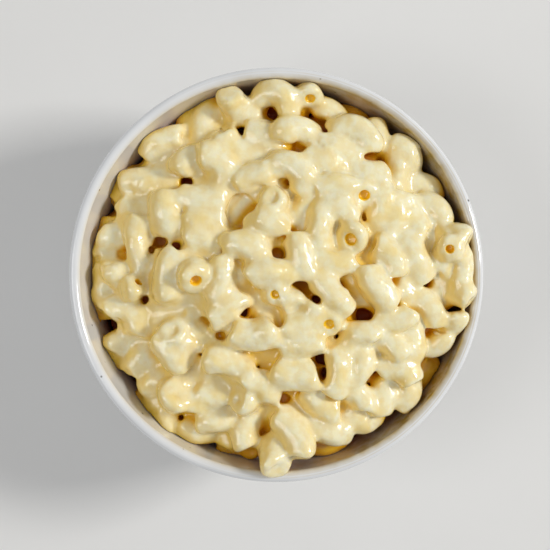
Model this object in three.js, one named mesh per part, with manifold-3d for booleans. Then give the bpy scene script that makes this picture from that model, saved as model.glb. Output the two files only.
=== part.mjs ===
// Mac and cheese: a heap of sauced elbow macaroni in a round white bowl with a foot ring.
// Units are millimetres, +Z is up, and the origin is the centre of the foot ring on the table.
import * as THREE from "three";
import { mergeVertices } from "three/addons/utils/BufferGeometryUtils.js";
import Module from "manifold-3d";

// Driving dimensions of the bowl.
const RIM_RADIUS = 75;
const BOWL_HEIGHT = 65;
const WALL = 4;
const FOOT_RADIUS = 37;
const FOOT_WIDTH = 5;
const FOOT_HEIGHT = 5;
const FLOOR_THICKNESS = 5;
const RECESS_DEPTH = 4; // under the floor, inside the foot ring
const RECESS_DRAFT = 2; // how much narrower the recess is at its top
const FOOT_ROUNDING = 0.5;
const FLAT_FLOOR_RADIUS = 27;
const GLAZE_GAP = 0.4; // between the glaze and the food

// Driving dimensions of the food.
const ELBOW_RADIUS = 4.7;
const ELBOW_BORE = 1.8;
const ELBOW_BEND = 7.4;
const ELBOW_SWEEP = [120, 180]; // degrees along the bend, shortest and longest
const ELBOW_ROLL = 70; // degrees, the most that an elbow leans to either side
const ELBOW_SUNK = [0.1, 0.7]; // of its radius, how deep it lies in the core
const ELBOW_COUNT = 60;
const HEAP_TOP = 69;
const HEAP_SHOULDER = 53;
const SHOULDER_RADIUS = 62.5;
const CONTACT_HEIGHT = 44; // where the food's edge meets the wall
const SLUMP_DEPTH = 9;
const SLUMP_BEARING = 0.6; // radians, to the right and a little up
const SLUMP_WIDTH = 0.35;

// Facets.
const BOWL_SECTORS = 64;
const WALL_STEPS = 7;
const LIP_STEPS = 6;
const HEAP_SECTORS = 32;
const HEAP_RINGS = 5;
const ELBOW_SIDES = 3; // an arc shape draws twice this many sides
const ELBOW_STEPS = 4;
const BORE_SIDES = 5;
const SLIVER = 0.4; // the relief finer than this is flattened

const LIP_RADIUS = WALL / 2;
const LIP_HEIGHT = BOWL_HEIGHT - LIP_RADIUS;
const FLOOR_HEIGHT = FOOT_HEIGHT + FLOOR_THICKNESS;
const GOLDEN_ANGLE = Math.PI * (3 - Math.sqrt(5));

// The two handles of each wall's curve: the first pulls it upright under the lip, the second
// rounds it out of the floor.
const INNER_HANDLES = [
  new THREE.Vector2(RIM_RADIUS - WALL - 3.5, 36.4),
  new THREE.Vector2(55.5, FLOOR_HEIGHT + 2),
];
const OUTER_HANDLES = [
  new THREE.Vector2(62.25, FOOT_HEIGHT + 4),
  new THREE.Vector2(RIM_RADIUS - 2.5, 35.1),
];

const wasm = await Module();
wasm.setup();

// A repeatable number from 0 to 1 for a whole number and a purpose.
function chance(index, purpose) {
  const wave = Math.sin(index * 127.1 + purpose * 311.7) * 43758.5453;
  return wave - Math.floor(wave);
}

// A closed geometry as a manifold-3d solid.
function solidOf(geometry) {
  const bare = geometry.index ? geometry.toNonIndexed() : geometry.clone();
  bare.deleteAttribute("normal");
  bare.deleteAttribute("uv");
  const merged = mergeVertices(bare, 1e-4);
  return new wasm.Manifold(
    new wasm.Mesh({
      numProp: 3,
      vertProperties: new Float32Array(merged.attributes.position.array),
      triVerts: new Uint32Array(merged.index.array),
    }),
  );
}

// A manifold-3d solid as a geometry.
function geometryOf(solid) {
  const { vertProperties, triVerts } = solid.getMesh();
  const geometry = new THREE.BufferGeometry();
  geometry.setAttribute("position", new THREE.BufferAttribute(vertProperties, 3));
  geometry.setIndex(new THREE.BufferAttribute(triVerts, 1));
  geometry.computeVertexNormals();
  return geometry;
}

// The bowl's inner wall from the lip down to the edge of its flat floor, moved inwards by a gap.
function innerWall(gap = 0) {
  return new THREE.CubicBezierCurve(
    new THREE.Vector2(RIM_RADIUS - WALL - gap, LIP_HEIGHT),
    INNER_HANDLES[0].clone().add(new THREE.Vector2(-gap, 0)),
    INNER_HANDLES[1].clone().add(new THREE.Vector2(-gap, gap)),
    new THREE.Vector2(FLAT_FLOOR_RADIUS, FLOOR_HEIGHT + gap),
  );
}

// The bowl's outer wall from the top of the foot ring up to the lip.
function outerWall() {
  return new THREE.CubicBezierCurve(
    new THREE.Vector2(FOOT_RADIUS, FOOT_HEIGHT),
    ...OUTER_HANDLES,
    new THREE.Vector2(RIM_RADIUS, LIP_HEIGHT),
  );
}

// The bowl's section: foot recess, foot ring, outer wall, half-round lip, inner wall and floor.
function bowlProfile() {
  const lip = new THREE.EllipseCurve(
    RIM_RADIUS - LIP_RADIUS, LIP_HEIGHT, LIP_RADIUS, LIP_RADIUS, 0, Math.PI);
  const footInside = FOOT_RADIUS - FOOT_WIDTH;
  const footOutside = FOOT_RADIUS - FOOT_ROUNDING;
  return [
    new THREE.Vector2(0, RECESS_DEPTH),
    new THREE.Vector2(footInside - RECESS_DRAFT, RECESS_DEPTH),
    new THREE.Vector2(footInside, FOOT_ROUNDING),
    new THREE.Vector2(footInside + FOOT_ROUNDING, 0),
    new THREE.Vector2(footOutside - FOOT_ROUNDING, 0),
    new THREE.Vector2(footOutside, FOOT_ROUNDING),
    ...outerWall().getPoints(WALL_STEPS),
    ...lip.getPoints(LIP_STEPS).slice(1),
    ...innerWall().getPoints(WALL_STEPS).slice(1),
    new THREE.Vector2(0, FLOOR_HEIGHT),
  ];
}

// The space inside the bowl with a gap to the glaze, open upwards well past the heap.
function cavity() {
  const above = BOWL_HEIGHT * 1.5;
  const wall = innerWall(GLAZE_GAP).getPoints(WALL_STEPS).reverse();
  const mouth = RIM_RADIUS - WALL - GLAZE_GAP;
  const profile = [
    new THREE.Vector2(0, FLOOR_HEIGHT + GLAZE_GAP),
    ...wall,
    new THREE.Vector2(mouth, above),
    new THREE.Vector2(0, above),
  ];
  return solidOf(upright(new THREE.LatheGeometry(profile, HEAP_SECTORS)));
}

// A lathe turns about +Y, and the part's up is +Z.
function upright(geometry) {
  return geometry.rotateX(Math.PI / 2);
}

// How far the heap reaches towards the wall: the elbows press against it on the left and below,
// and stand off on the right, where the slope has slumped and leaves a gap.
function shoulderRadius(bearing) {
  const slump = Math.exp(-(((bearing - SLUMP_BEARING) / SLUMP_WIDTH) ** 2));
  const unevenness = 0.8 * Math.cos(3 * bearing + 0.4) + 0.6 * Math.sin(7 * bearing);
  return SHOULDER_RADIUS + unevenness - SLUMP_DEPTH * slump;
}

// The height of the food under the top layer of elbows.
function coreHeight(radius, bearing) {
  const share = Math.min(radius / shoulderRadius(bearing), 1);
  const waves = 1.4 * Math.sin(radius / 9 + 2 * bearing) * Math.cos(3 * bearing - radius / 14);
  return HEAP_SHOULDER + (HEAP_TOP - HEAP_SHOULDER) * (1 - share ** 2.2) + waves * (1 - share);
}

// The core: a domed top, a shoulder that falls to the wall, and the underside, ring by ring.
function core() {
  const rings = [];
  for (let ring = 1; ring <= HEAP_RINGS; ring++) {
    rings.push((bearing) => {
      const radius = (shoulderRadius(bearing) * ring) / HEAP_RINGS;
      return [radius, coreHeight(radius, bearing)];
    });
  }
  // Below the shoulder the rings run into the wall, where the cavity cuts them off.
  const widest = RIM_RADIUS - WALL;
  const fall = (HEAP_SHOULDER - CONTACT_HEIGHT) * 0.67;
  rings.push((bearing) => [shoulderRadius(bearing) + fall / 2, HEAP_SHOULDER - fall]);
  rings.push(() => [widest, CONTACT_HEIGHT - fall * 4 / 3]);
  rings.push(() => [widest, FLOOR_HEIGHT]);
  const positions = [0, 0, coreHeight(0, 0)];
  for (const ring of rings) {
    for (let sector = 0; sector < HEAP_SECTORS; sector++) {
      const bearing = (2 * Math.PI * sector) / HEAP_SECTORS;
      const [radius, height] = ring(bearing);
      positions.push(radius * Math.cos(bearing), radius * Math.sin(bearing), height);
    }
  }
  positions.push(0, 0, FLOOR_HEIGHT);
  const last = positions.length / 3 - 1;
  const at = (ring, sector) => 1 + ring * HEAP_SECTORS + (sector % HEAP_SECTORS);
  const faces = [];
  for (let sector = 0; sector < HEAP_SECTORS; sector++) {
    faces.push(0, at(0, sector), at(0, sector + 1));
    for (let ring = 0; ring + 1 < rings.length; ring++) {
      faces.push(at(ring, sector), at(ring + 1, sector), at(ring + 1, sector + 1));
      faces.push(at(ring, sector), at(ring + 1, sector + 1), at(ring, sector + 1));
    }
    faces.push(last, at(rings.length - 1, sector + 1), at(rings.length - 1, sector));
  }
  const geometry = new THREE.BufferGeometry();
  geometry.setAttribute("position", new THREE.Float32BufferAttribute(positions, 3));
  geometry.setIndex(faces);
  return solidOf(geometry);
}

// An elbow's centre line: an arc of the bend radius in the XY plane, its middle at the origin.
class ElbowLine extends THREE.Curve {
  constructor(sweep) {
    super();
    this.sweep = sweep;
  }

  getPoint(share, target = new THREE.Vector3()) {
    const turn = (share - 0.5) * this.sweep;
    return target.set(ELBOW_BEND * Math.sin(turn), ELBOW_BEND * (Math.cos(turn) - 1), 0);
  }
}

// One elbow with the mouth of its bore open at one end, share 0 or 1 along its centre line.
function elbow(sweep, open) {
  const line = new ElbowLine(sweep);
  const circle = new THREE.Shape().absarc(0, 0, ELBOW_RADIUS, 0, 2 * Math.PI);
  const solid = solidOf(new THREE.ExtrudeGeometry(circle, {
    curveSegments: ELBOW_SIDES, steps: ELBOW_STEPS, extrudePath: line }));
  const bore = new THREE.CylinderGeometry(ELBOW_BORE, ELBOW_BORE, ELBOW_RADIUS * 2, BORE_SIDES);
  bore.applyQuaternion(new THREE.Quaternion().setFromUnitVectors(
    THREE.Object3D.DEFAULT_UP, line.getTangent(open)));
  const mouth = line.getPoint(open);
  bore.translate(mouth.x, mouth.y, mouth.z);
  return solid.subtract(solidOf(bore));
}

// The top layer: elbows spread evenly over the dome, each turned and tipped its own way.
function topLayer() {
  const layer = [];
  for (let index = 0; index < ELBOW_COUNT; index++) {
    const bearing = (index * GOLDEN_ANGLE) % (2 * Math.PI);
    const radius = (shoulderRadius(bearing) + 1) * Math.sqrt((index + 0.5) / ELBOW_COUNT);
    const sweep = THREE.MathUtils.lerp(...ELBOW_SWEEP, chance(index, 1));
    const heading = 2 * Math.PI * chance(index, 2);
    const roll = THREE.MathUtils.lerp(-ELBOW_ROLL, ELBOW_ROLL, chance(index, 3));
    const sunk = ELBOW_RADIUS * THREE.MathUtils.lerp(...ELBOW_SUNK, chance(index, 4));
    const place = new THREE.Matrix4()
      .makeTranslation(radius * Math.cos(bearing), radius * Math.sin(bearing),
        coreHeight(radius, bearing) + ELBOW_RADIUS - sunk)
      .multiply(new THREE.Matrix4().makeRotationZ(heading))
      .multiply(new THREE.Matrix4().makeRotationX(THREE.MathUtils.degToRad(roll)));
    layer.push(elbow(THREE.MathUtils.degToRad(sweep), index % 2).transform(place.elements));
  }
  return layer;
}

// The heap as one solid, kept inside the bowl.
function heapGeometry() {
  let heap = core();
  for (const piece of topLayer()) heap = heap.add(piece);
  const inside = heap.asOriginal().simplify(SLIVER).intersect(cavity());
  const largest = inside.decompose().sort((a, b) => b.volume() - a.volume())[0];
  return geometryOf(largest.asOriginal().simplify(SLIVER / 5));
}

const bowl = new THREE.Mesh(
  upright(new THREE.LatheGeometry(bowlProfile(), BOWL_SECTORS)),
  new THREE.MeshStandardMaterial({ color: 0xe4e4e2, roughness: 0.12, metalness: 0 }),
);
bowl.name = "bowl";

const macaroni = new THREE.Mesh(
  heapGeometry(),
  new THREE.MeshStandardMaterial({ color: 0xecdcae, roughness: 0.3, metalness: 0 }),
);
macaroni.name = "macaroni_heap";

const macAndCheese = new THREE.Group();
macAndCheese.add(bowl, macaroni);

export default macAndCheese;
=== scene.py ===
"""A bowl of mac and cheese: elbow macaroni in a pale cheese sauce, heaped in a white porcelain bowl.

Lengths are millimetres until a mesh is made. East is +X, north is +Y and up is +Z, and the bowl's
axis is at nought east and nought north.
"""
import logging
import math
from dataclasses import dataclass, field
from enum import Enum
from typing import NamedTuple

import bpy
import numpy as np
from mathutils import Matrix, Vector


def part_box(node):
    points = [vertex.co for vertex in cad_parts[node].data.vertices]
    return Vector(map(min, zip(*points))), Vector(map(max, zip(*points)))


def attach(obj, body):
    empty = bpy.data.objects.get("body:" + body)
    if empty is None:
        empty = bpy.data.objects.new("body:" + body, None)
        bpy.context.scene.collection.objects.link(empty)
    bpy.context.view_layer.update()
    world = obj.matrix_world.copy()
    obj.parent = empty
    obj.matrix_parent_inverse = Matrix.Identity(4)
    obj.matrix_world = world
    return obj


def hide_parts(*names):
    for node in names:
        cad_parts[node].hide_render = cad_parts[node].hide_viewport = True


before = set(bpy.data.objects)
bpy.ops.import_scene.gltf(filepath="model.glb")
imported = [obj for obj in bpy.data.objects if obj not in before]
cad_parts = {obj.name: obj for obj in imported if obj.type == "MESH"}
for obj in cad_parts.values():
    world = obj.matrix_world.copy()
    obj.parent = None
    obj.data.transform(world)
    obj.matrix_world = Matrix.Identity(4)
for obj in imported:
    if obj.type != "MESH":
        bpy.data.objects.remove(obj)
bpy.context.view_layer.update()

import openvdb
from mathutils import Vector

MM = 0.001
LOG = logging.getLogger("mac_and_cheese")
BODY = "root"

Array = np.ndarray
Material = bpy.types.Material
Object = bpy.types.Object
Place = tuple[float, float, float]
Socket = bpy.types.NodeSocket


# ---- Meshes and materials ----


def make_piece(name: str, points: Array, faces: list[Array]) -> Object:
    """Makes a smooth-shaded mesh object.

    Args:
        name: The piece's name.
        points: Its vertices in millimetres, one row each.
        faces: Arrays of corner numbers, of three or four columns.

    Returns:
        The new object, linked to the scene.
    """
    corners = np.concatenate([face.ravel() for face in faces]).astype(np.int32)
    sizes = np.concatenate([np.full(len(face), face.shape[1]) for face in faces])
    starts = np.concatenate(([0], np.cumsum(sizes)[:-1])).astype(np.int32)
    mesh = bpy.data.meshes.new(name)
    mesh.vertices.add(len(points))
    mesh.vertices.foreach_set("co", (points * MM).astype(np.float32).ravel())
    mesh.loops.add(len(corners))
    mesh.loops.foreach_set("vertex_index", corners)
    mesh.polygons.add(len(sizes))
    mesh.polygons.foreach_set("loop_start", starts)
    mesh.update(calc_edges=True)
    mesh.validate()
    mesh.shade_smooth()
    piece = bpy.data.objects.new(name, mesh)
    bpy.context.collection.objects.link(piece)
    return piece


class Mark(Enum):
    """A number that a mesh keeps for each vertex, for its material to read.

    Depth is millimetres below the bowl's lip or the heap's dome, and film is the sauce's thickness
    over the pasta. The rest go from 0 to 1: how much sauce is left on the glaze, which also paints
    shade on the east wall; how far the place is from daylight; how much the sauce has run off it,
    which also paints shade on the sides turned west; and how far it is inside a bore. The materials
    also turn depth and the distance from daylight into painted shade.
    """

    DEPTH = "depth"
    SMEAR = "smear"
    FILM = "film"
    SHADE = "shade"
    BARE = "bare"
    BORE = "bore"


def mark(piece: Object, kind: Mark, values: Array) -> None:
    """Keeps one number for each vertex on the mesh.

    Args:
        piece: The object whose mesh takes the numbers.
        kind: What they are.
        values: One number for each vertex.
    """
    layer = piece.data.attributes.new(kind.value, "FLOAT", "POINT")
    layer.data.foreach_set("value", np.asarray(values, np.float32))


def linear(colour: str) -> tuple[float, float, float, float]:
    """Turns an sRGB hex colour into linear light.

    Args:
        colour: Six hex digits after a hash mark.

    Returns:
        Red, green, blue and an alpha of one.
    """
    channels = [int(colour[place : place + 2], 16) / 255 for place in (1, 3, 5)]
    red, green, blue = (
        value / 12.92 if value <= 0.04045 else ((value + 0.055) / 1.055) ** 2.4
        for value in channels
    )
    return red, green, blue, 1.0


class Grain(NamedTuple):
    """Procedural unevenness: the size of its blotches in millimetres and how many finer layers it has."""

    size: float
    detail: float = 2.0


class Nodes:
    """A material's node tree under construction."""

    def __init__(self, name: str) -> None:
        """Starts with a Principled shader and nothing else.

        Args:
            name: The material's name.
        """
        self.material = bpy.data.materials.new(name)
        self.material.use_nodes = True
        self.tree = self.material.node_tree
        self.tree.nodes.clear()
        self.shader = self.add("ShaderNodeBsdfPrincipled")
        self.add("ShaderNodeOutputMaterial", None, {"Surface": self.shader.outputs["BSDF"]})

    def add(self, kind: str, settings: dict | None = None, inputs: dict | None = None) -> bpy.types.Node:
        """Adds a node with its settings, values and links.

        Args:
            kind: The node's type.
            settings: Attributes of the node.
            inputs: Socket names or numbers, with a plain value or the output socket that feeds each.

        Returns:
            The new node.
        """
        node = self.tree.nodes.new(kind)
        for key, value in (settings or {}).items():
            setattr(node, key, value)
        for key, value in (inputs or {}).items():
            self.feed(node.inputs[key], value)
        return node

    def feed(self, socket: Socket, value: object) -> None:
        """Links an input socket to an output, or sets it to a plain value.

        Args:
            socket: The input socket.
            value: The output socket or the value.
        """
        if isinstance(value, Socket):
            self.tree.links.new(value, socket)
        else:
            socket.default_value = value

    def dress(self, **inputs: object) -> Material:
        """Sets the shader's sockets, which finishes the material.

        Args:
            **inputs: Each socket's name, with underscores for spaces, and its value or feeding socket.

        Returns:
            The material.
        """
        for key, value in inputs.items():
            self.feed(self.shader.inputs[key.replace("_", " ")], value)
        return self.material

    def read(self, source: Mark | Grain | Socket) -> Socket:
        """Reads a number that varies over the surface.

        Args:
            source: A number kept on the mesh, unevenness fixed to the object, or a socket itself.

        Returns:
            The socket with the number.
        """
        if isinstance(source, Mark):
            return self.add("ShaderNodeAttribute", {"attribute_name": source.value}).outputs["Fac"]
        if isinstance(source, Grain):
            place = self.add("ShaderNodeTexCoord").outputs["Object"]
            return self.add("ShaderNodeTexNoise", None, {
                "Vector": place, "Scale": 1 / (source.size * MM), "Detail": source.detail}).outputs["Fac"]
        return source

    def strength(self, source: Mark | Grain | Socket, start: float, stop: float,
                 low: float = 0.0, high: float = 1.0) -> Socket:
        """Turns a number that varies over the surface into how strongly something shows there.

        Args:
            source: What the number is, as read takes it.
            start: The number that gives low.
            stop: The number that gives high.
            low: The first strength.
            high: The last strength.

        Returns:
            The socket with the strength, eased between low and high.
        """
        eased = self.add("ShaderNodeMapRange", {"interpolation_type": "SMOOTHSTEP"}, {
            "Value": self.read(source), "From Min": start, "From Max": stop, "To Min": low, "To Max": high})
        return eased.outputs["Result"]

    def tinted(self, base: str, layers: list[tuple[Socket, str]]) -> Socket:
        """Lays tints over a base colour.

        Args:
            base: The base colour.
            layers: How strongly each tint shows, and the tint, from the lowest to the topmost.

        Returns:
            The finished colour's socket.
        """
        colour = linear(base)
        for share, tint in layers:
            colour = self.add("ShaderNodeMix", {"data_type": "RGBA"},
                              {0: share, 6: colour, 7: linear(tint)}).outputs[2]
        return colour

    def relief(self, grain: Grain, strength: float, height: float) -> Socket:
        """Roughens the surface.

        Args:
            grain: The unevenness.
            strength: How much of it shows, from 0 to 1.
            height: How high it stands, in millimetres.

        Returns:
            The socket with the surface's direction.
        """
        bump = self.add("ShaderNodeBump", None, {
            "Strength": strength, "Distance": height * MM, "Height": self.read(grain)})
        return bump.outputs["Normal"]


@dataclass(frozen=True)
class GlazedPorcelain:
    """White porcelain under a clear glossy glaze, slip-cast and fired.

    The glaze gives the eye a sharp highlight over a faintly cool white. The firing leaves a slight
    waviness and a few iron specks. They are 0.3 to 0.6 mm across, and drawn about 1 mm so as to show.
    """

    body: str = "#eaecee"
    cool: str = "#e3e5e7"
    # This tint is sauce left on the inner wall, and painted shade on its east side, away from the window
    # lamp.
    smear: str = "#ba9e4c"
    # Painted shade: the wall turns dark brown deep down between food and wall.
    painted_deep_shade: str = "#3a1c05"
    speck: str = "#4c4a46"
    speck_spacing: float = 4.5
    speck_size: float = 0.55
    cloud: Grain = Grain(18.0)
    streaks: Grain = Grain(5.0, 3.0)
    waviness: Grain = Grain(24.0, 0.0)
    painted_deep_shade_depth: tuple[float, float] = (17.0, 24.0)

    def build(self) -> Material:
        """Makes the material: glaze, specks, sauce left on it with painted shade on the east wall, and
        painted shade, dark brown, deep down between food and wall.

        Returns:
            The material.
        """
        nodes = Nodes("glazed_porcelain")
        cells = nodes.add("ShaderNodeTexVoronoi", None, {
            "Vector": nodes.add("ShaderNodeTexCoord").outputs["Object"],
            "Scale": 1 / (self.speck_spacing * MM), "Randomness": 1.0}).outputs
        size = self.speck_size / self.speck_spacing
        near = nodes.strength(cells["Distance"], size * 1.25, size * 0.5)
        kept = nodes.strength(cells["Color"], 0.52, 0.62)
        streaks = nodes.strength(self.streaks, 0.3, 0.7, low=0.55)
        # The tint's mask is sauce on the wall and painted shade on the east side, broken into streaks.
        specks, streaked_smear_and_shade = (
            nodes.add("ShaderNodeMath", {"operation": "MULTIPLY"}, {0: one, 1: other}).outputs[0]
            for one, other in ((near, kept), (nodes.read(Mark.SMEAR), streaks)))
        colour = nodes.tinted(self.body, [
            (nodes.strength(self.cloud, 0.35, 0.65), self.cool),
            (specks, self.speck),
            (streaked_smear_and_shade, self.smear),
            (nodes.strength(Mark.DEPTH, *self.painted_deep_shade_depth), self.painted_deep_shade)])
        return nodes.dress(Base_Color=colour, Roughness=0.12, IOR=1.5, Coat_Weight=0.6,
                           Coat_Roughness=0.04, Normal=nodes.relief(self.waviness, 0.25, 0.4))


@dataclass(frozen=True)
class BareBisque:
    """The foot ring's underside, cleaned of glaze by wiping: fired porcelain without glaze, matt and finely
    sandy.
    """

    body: str = "#d3cdc0"
    sand: str = "#bfb8aa"
    grit: Grain = Grain(0.5, 3.0)

    def build(self) -> Material:
        """Makes the material.

        Returns:
            The material.
        """
        nodes = Nodes("bare_bisque")
        colour = nodes.tinted(self.body, [(nodes.read(self.grit), self.sand)])
        return nodes.dress(Base_Color=colour, Roughness=0.8, Normal=nodes.relief(self.grit, 0.5, 0.1))


@dataclass(frozen=True)
class CheeseSauce:
    """Pale cheese sauce of milk, butter and white cheddar, cooked smooth.

    Thick sauce is creamy white and scatters light softly. Where it is a thin film the pasta's
    yellow shows through. Deep nooks carry painted shade, golden, then deep yellow, then brown as they
    see less sky; sauce deep in the heap and the sides turned west, away from the window lamp, carry a
    painted shade of tan and gold; and the bores carry painted light, a bright yellow for light
    through the thin walls. Its wet skin gives small sharp highlights.
    """

    coat: str = "#fef4d0"
    thick: str = "#fbe9b6"
    patch: str = "#f5dc8c"
    mottled: str = "#f4da90"
    # A yellow for thin sauce on steep sides, and painted shade on the sides turned west, away from the lamp.
    flank_and_west_shade: str = "#f1cd60"
    # Painted shade: a tan for sauce lying deep below the heap's dome.
    low: str = "#edd67e"
    # Painted shade, darker as the place sees less sky: golden, then deep yellow, then brown.
    golden_nook_shade: str = "#f2cb3c"
    amber_shade: str = "#e2a60e"
    pit_shade: str = "#a4460a"
    # The pasta's own yellow in the bores, brightened as painted light for light through the thin walls.
    bore: str = "#ffcb22"
    patches: Grain = Grain(9.0)
    mottle: Grain = Grain(3.2, 3.0)
    lumps: Grain = Grain(2.7, 1.5)
    dull: tuple[float, float] = (0.5, 0.85)

    def build(self) -> Material:
        """Makes the material.

        Returns:
            The material.
        """
        nodes = Nodes("cheese_sauce")
        mottle = nodes.strength(self.mottle, 0.3, 0.7)
        colour = nodes.tinted(self.coat, [
            (nodes.strength(Mark.FILM, 0.5, 1.8), self.thick),
            (nodes.strength(self.patches, 0.5, 0.68, high=0.6), self.patch),
            (nodes.strength(mottle, 0.0, 1.0, high=0.42), self.mottled),
            # Thin sauce on steep sides, and painted shade on the sides turned west.
            (nodes.strength(Mark.BARE, 0.16, 0.75, high=0.75), self.flank_and_west_shade),
            # Painted shade, tan, where the sauce lies deep below the dome.
            (nodes.strength(Mark.DEPTH, 2.0, 7.0, high=0.6), self.low),
            # Painted shade where the place sees little sky.
            (nodes.strength(Mark.SHADE, 0.14, 0.4, high=0.95), self.golden_nook_shade),
            (nodes.strength(Mark.SHADE, 0.32, 0.6), self.amber_shade),
            (nodes.strength(Mark.SHADE, 0.66, 0.86), self.pit_shade),
            # Painted light: the bores brightened for light through the thin walls.
            (nodes.strength(Mark.BORE, 0.3, 0.9), self.bore)])
        return nodes.dress(
            Base_Color=colour, Roughness=nodes.strength(Mark.SHADE, *self.dull, low=0.24, high=0.7),
            IOR=1.45, Subsurface_Weight=0.4, Subsurface_Radius=(1.0, 0.95, 0.5), Subsurface_Scale=2.0 * MM,
            Coat_Weight=nodes.strength(Mark.SHADE, *self.dull, low=0.75, high=0.1), Coat_Roughness=0.04,
            Normal=nodes.relief(self.lumps, 0.55, 0.5))


@dataclass(frozen=True)
class CookedPasta:
    """Durum wheat macaroni, extruded and boiled soft, with a thin coat of sauce.

    Boiling leaves it pale yellow and slightly see-through, and the coat makes it glossy. Its colour
    also carries painted shade, golden to brown where little sky reaches, and painted light, a bright
    yellow in the bores.
    """

    body: str = "#f3db8e"
    coat: str = "#f7ebc2"
    # Painted shade where little sky reaches: golden, then brown.
    golden_nook_shade: str = "#f7d766"
    pit_shade: str = "#b8580e"
    # The pasta's own yellow in the bores, brightened as painted light for light through the thin walls.
    bore: str = "#ffd24a"
    streaks: Grain = Grain(4.5, 3.0)
    skin: Grain = Grain(1.6)

    def build(self) -> Material:
        """Makes the material.

        Returns:
            The material.
        """
        nodes = Nodes("cooked_pasta")
        colour = nodes.tinted(self.body, [
            (nodes.strength(self.streaks, 0.35, 0.65), self.coat),
            # Painted shade where little sky reaches, and painted light in the bores.
            (nodes.strength(Mark.SHADE, 0.35, 0.8), self.golden_nook_shade),
            (nodes.strength(Mark.SHADE, 0.84, 0.97), self.pit_shade),
            (nodes.strength(Mark.BORE, 0.2, 1.0), self.bore)])
        return nodes.dress(
            Base_Color=colour, Roughness=0.3, IOR=1.45, Subsurface_Weight=0.2,
            Subsurface_Radius=(1.0, 0.9, 0.5), Subsurface_Scale=1.2 * MM, Coat_Weight=0.8,
            Coat_Roughness=0.06, Normal=nodes.relief(self.skin, 0.3, 0.2))


@dataclass(frozen=True)
class StudioPaper:
    """The pale seamless paper that the bowl stands on: matt, even and faintly mottled."""

    tone: str = "#e9e9e8"
    shadow: str = "#e4e4e3"
    mottle: Grain = Grain(60.0)

    def build(self) -> Material:
        """Makes the material.

        Returns:
            The material.
        """
        nodes = Nodes("studio_paper")
        colour = nodes.tinted(self.tone, [(nodes.read(self.mottle), self.shadow)])
        return nodes.dress(Base_Color=colour, Roughness=0.9)


# ---- The bowl ----


def bezier(handles: list[tuple[float, float]], steps: int) -> Array:
    """Points along a cubic curve.

    Args:
        handles: The curve's two ends with its two handles between them.
        steps: How many spans it is drawn in.

    Returns:
        The points, one row each.
    """
    share = np.linspace(0, 1, steps + 1)[:, None]
    weights = [(1 - share) ** 3, 3 * (1 - share) ** 2 * share, 3 * (1 - share) * share**2, share**3]
    return sum(weight * np.array(handle) for weight, handle in zip(weights, handles))


def lathe(profile: Array, sectors: int) -> tuple[Array, list[Array]]:
    """Turns a profile about the bowl's axis.

    Args:
        profile: Radius and height of each point, from the axis back to the axis.
        sectors: How many facets go round.

    Returns:
        The vertices and the faces, which point outwards for a profile that runs up its outside.
    """
    bearing = 2 * np.pi * np.arange(sectors) / sectors
    rings = profile[1:-1]
    points = np.stack([
        np.outer(rings[:, 0], np.cos(bearing)), np.outer(rings[:, 0], np.sin(bearing)),
        np.repeat(rings[:, 1:], sectors, 1)], -1).reshape(-1, 3)
    points = np.vstack([points, (0, 0, profile[0, 1]), (0, 0, profile[-1, 1])])
    here = np.arange(sectors)
    after = (here + 1) % sectors
    quads = np.concatenate([
        np.stack([row + here, row + after, row + sectors + after, row + sectors + here], -1)
        for row in range(0, (len(rings) - 1) * sectors, sectors)])
    top = (len(rings) - 1) * sectors
    first, last = len(points) - 2, len(points) - 1
    caps = np.concatenate([
        np.stack([np.full(sectors, first), after, here], -1),
        np.stack([top + here, top + after, np.full(sectors, last)], -1)])
    return points, [quads, caps]


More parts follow.
